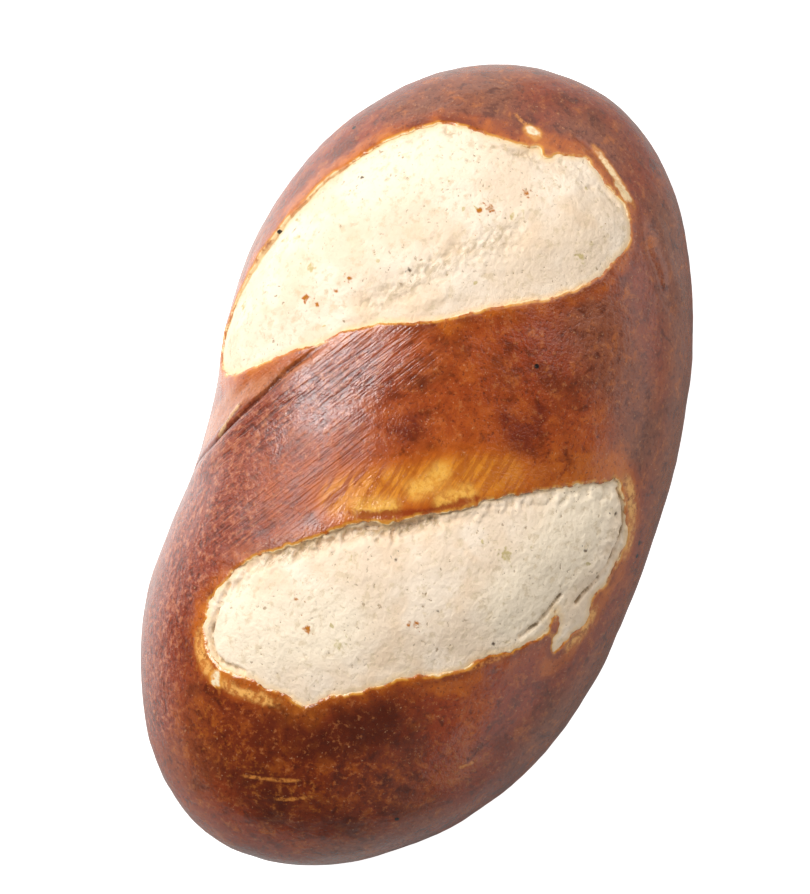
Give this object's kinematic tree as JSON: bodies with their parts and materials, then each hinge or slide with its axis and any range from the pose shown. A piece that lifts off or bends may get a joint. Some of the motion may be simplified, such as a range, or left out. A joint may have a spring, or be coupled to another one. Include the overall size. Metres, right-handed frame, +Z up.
{
  "type": "pretzel roll",
  "caption": "Plump oval lye roll with a glossy brown crust, pale torn crumb in slanting slashes across its back, and a flat underside.",
  "frame": {"origin": "on the surface the roll rests on, under the middle of its box", "axes": "+X along the roll to the end with the larger slash, +Y to the side with the waist, +Z up"},
  "size_m": [0.1302, 0.0744, 0.0482],
  "materials": {
    "crust": "satin",
    "crumb": "matte"
  },
  "bodies": {
    "root": {"roll": "crust"}
  },
  "joints": []
}
